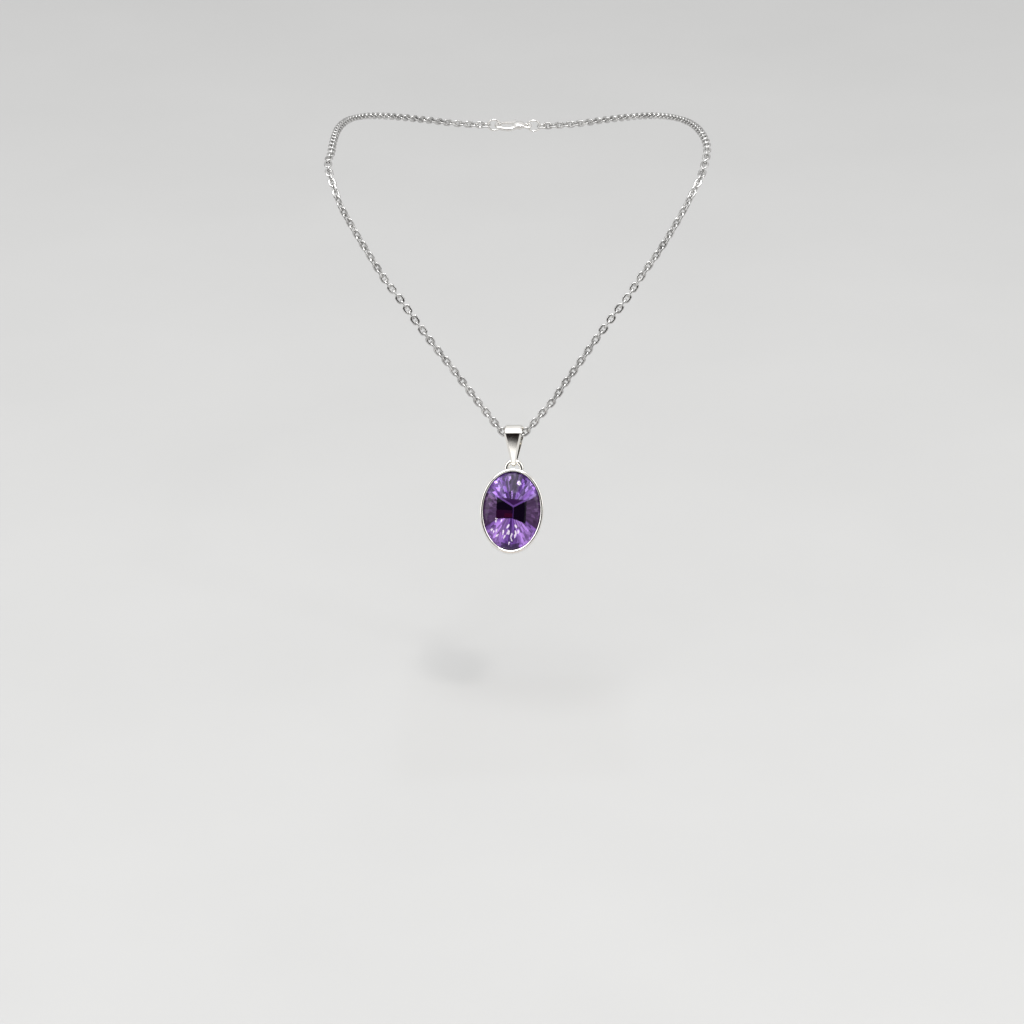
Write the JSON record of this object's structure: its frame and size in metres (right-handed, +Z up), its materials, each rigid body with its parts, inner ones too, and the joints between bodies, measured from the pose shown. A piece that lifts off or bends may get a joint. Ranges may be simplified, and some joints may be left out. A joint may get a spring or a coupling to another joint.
{
  "type": "pendant necklace",
  "caption": "Fine cable-chain necklace with a lobster clasp, a tapered bail and an oval stone in a deep bezel, hanging in a V as it is worn.",
  "frame": {"origin": "centre of the wearer's neck at the height of the shoulder crests that the chain lies on", "axes": "+X to the right as seen from the front, -Y to the front, +Z up"},
  "size_m": [0.0854, 0.1296, 0.0813],
  "materials": {
    "silver": "polished",
    "warm_silver": "mirror polished",
    "spring_steel": "satin",
    "amethyst": "polished stone"
  },
  "bodies": {
    "back": {"back_chain_left": "silver", "back_chain_right": "silver", "shoulder_link_left": "silver", "shoulder_link_right": "silver", "end_link_left": "silver", "end_link_right": "silver", "clasp_jump_ring": "silver", "catch_ring": "silver"},
    "front_upper": {"upper_swing_link_left": "silver", "upper_swing_link_right": "silver", "front_upper_chain_left": "silver", "front_upper_chain_right": "silver", "middle_link_left": "silver", "middle_link_right": "silver"},
    "front_lower": {"lower_swing_link_left": "silver", "lower_swing_link_right": "silver", "front_lower_chain_left": "silver", "front_lower_chain_right": "silver", "bail_link_left": "silver", "bail_link_right": "silver", "bail_link_centre": "silver"},
    "bail": {"bail": "warm_silver"},
    "pendant": {"hanging_loop": "warm_silver", "bezel_wall": "warm_silver", "bezel_seat": "warm_silver", "gemstone": "amethyst"},
    "clasp": {"lobster_body": "silver", "lever_pin": "spring_steel", "lever_spring": "spring_steel"},
    "lever": {"clasp_lever": "silver"}
  },
  "joints": [
    {"name": "front_swing", "type": "hinge", "parent": "back", "child": "front_upper", "pos_m": [0.00066, -0.00159, 0], "axis": [1, -0.0047, 0.0028], "range_deg": [-50, 35]},
    {"name": "lower_swing", "type": "hinge", "parent": "front_upper", "child": "front_lower", "pos_m": [-0.00018, -0.01911, -0.02937], "axis": [1, 0.0019, 0.0047], "range_deg": [-30, 30]},
    {"name": "bail_nod", "type": "hinge", "parent": "front_lower", "child": "bail", "pos_m": [0, -0.0285, -0.0546], "axis": [1, 0, 0], "range_deg": [-40, 35]},
    {"name": "pendant_sway", "type": "hinge", "parent": "bail", "child": "pendant", "pos_m": [0, -0.03186, -0.06119], "axis": [0, 0.891, -0.454], "range_deg": [-25, 25]},
    {"name": "clasp_roll", "type": "hinge", "parent": "back", "child": "clasp", "pos_m": [0.00329, 0.0849, -0.02056], "axis": [-0.9986, 0.052, -0.0002], "range_deg": [-35, 35]},
    {"name": "lever_open", "type": "hinge", "parent": "clasp", "child": "lever", "pos_m": [0.00073, 0.08575, -0.02035], "axis": [-0.0151, -0.2866, 0.9579], "range_deg": [0, 18], "stiffness_Nm_per_rad": 0.004, "springref_deg": -5.73}
  ]
}
